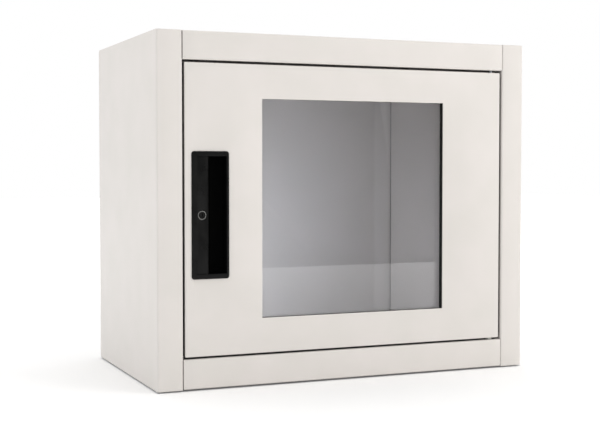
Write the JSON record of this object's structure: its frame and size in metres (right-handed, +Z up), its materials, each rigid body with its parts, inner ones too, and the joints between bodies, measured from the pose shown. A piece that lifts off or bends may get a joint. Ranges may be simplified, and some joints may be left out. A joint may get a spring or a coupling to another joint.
{
  "type": "wall cabinet with glazed door",
  "caption": "Wall-mounted folded-steel equipment cabinet with a glazed door hung on pins, a recessed black grip handle and a key lock.",
  "frame": {"origin": "in the plane that the feet stand on, midway between the sides and midway between the front of the handle bezel and the back of the cabinet", "axes": "+X to the right seen from the front, +Y to the back, +Z up; the door faces -Y"},
  "size_m": [0.6, 0.3434, 0.51],
  "materials": {
    "powder_coat": "fine-textured satin powder coat, warm grey-white",
    "handle_plastic": "moulded black glass-filled nylon, satin",
    "lock_black": "black-coated die-cast zinc, satin",
    "window_glass": "clear toughened float glass",
    "seal_rubber": "black EPDM rubber",
    "foam_seal": "dark grey foamed polyurethane",
    "zinc_plated_steel": "bright zinc plated",
    "nylon": "natural nylon",
    "brass": "plain turned brass"
  },
  "bodies": {
    "cabinet": {"left_side_shell": "powder_coat", "right_side_shell": "powder_coat", "top_shell": "powder_coat", "bottom_shell": "powder_coat", "back_panel": "powder_coat", "left_liner": "powder_coat", "right_liner": "powder_coat", "gland_plate": "powder_coat", "gland_gasket": "seal_rubber", "gland_screws": "zinc_plated_steel", "cable_grommets": "seal_rubber", "rubber_feet": "seal_rubber", "cabinet_earth_stud": "brass", "cabinet_earth_nut": "brass", "lower_hinge_bracket": "zinc_plated_steel", "lower_hinge_pin": "zinc_plated_steel", "hinge_spacer": "nylon", "upper_hinge_bracket": "zinc_plated_steel"},
    "door": {"door_panel": "powder_coat", "window_gasket": "seal_rubber", "window_pane": "window_glass", "window_retainer": "powder_coat", "retainer_studs": "zinc_plated_steel", "retainer_nuts": "zinc_plated_steel", "door_seal": "foam_seal", "handle_cup": "handle_plastic", "lock_plate": "handle_plastic", "handle_clamps": "zinc_plated_steel", "handle_screws": "zinc_plated_steel", "lock_clip": "zinc_plated_steel", "lock_housing": "lock_black", "lower_hinge_bush": "nylon", "pin_guide": "zinc_plated_steel", "hinge_spring": "zinc_plated_steel", "door_earth_stud": "brass", "door_earth_nut": "brass"},
    "lock_plug": {"lock_plug": "lock_black", "lock_cam": "zinc_plated_steel", "cam_screw": "zinc_plated_steel"},
    "hinge_pin": {"upper_hinge_pin": "zinc_plated_steel"}
  },
  "joints": [
    {"name": "door_hinge", "type": "hinge", "parent": "cabinet", "child": "door", "pos_m": [0.2455, -0.16135, 0.256], "axis": [0, 0, 1], "range_deg": [0, 110]},
    {"name": "lock_turn", "type": "hinge", "parent": "door", "child": "lock_plug", "pos_m": [-0.2334, -0.15435, 0.24965], "axis": [0, -1, 0], "range_deg": [0, 90]},
    {"name": "pin_release", "type": "slide", "parent": "door", "child": "hinge_pin", "axis": [0, 0, -1], "range_m": [0, 0.008], "stiffness_N_per_m": 400, "springref_m": -0.012, "deforming": ["hinge_spring"]}
  ]
}
